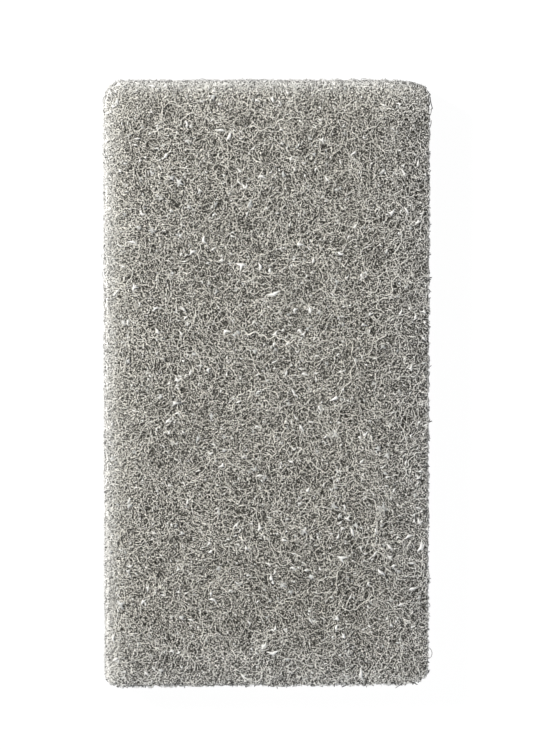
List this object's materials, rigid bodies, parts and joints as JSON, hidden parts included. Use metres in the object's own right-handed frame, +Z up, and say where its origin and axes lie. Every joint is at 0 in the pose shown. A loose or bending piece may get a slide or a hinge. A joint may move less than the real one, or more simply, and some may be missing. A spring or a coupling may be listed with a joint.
{
  "type": "floor polishing pad",
  "caption": "Rectangular slab of open, springy, resin-bonded fibre web with rounded corners, for polishing and fine cleaning of floors by hand or on a pad holder.",
  "frame": {"origin": "centre of the face that the pad lies on", "axes": "+Z up through the thickness, +Y along the length, +X across the width"},
  "size_m": [0.131, 0.245, 0.022],
  "materials": {
    "fibre_web": "matte, pale warm grey curled fibre with white resin flecks"
  },
  "bodies": {
    "root": {"polishing_pad": "fibre_web"}
  },
  "joints": []
}
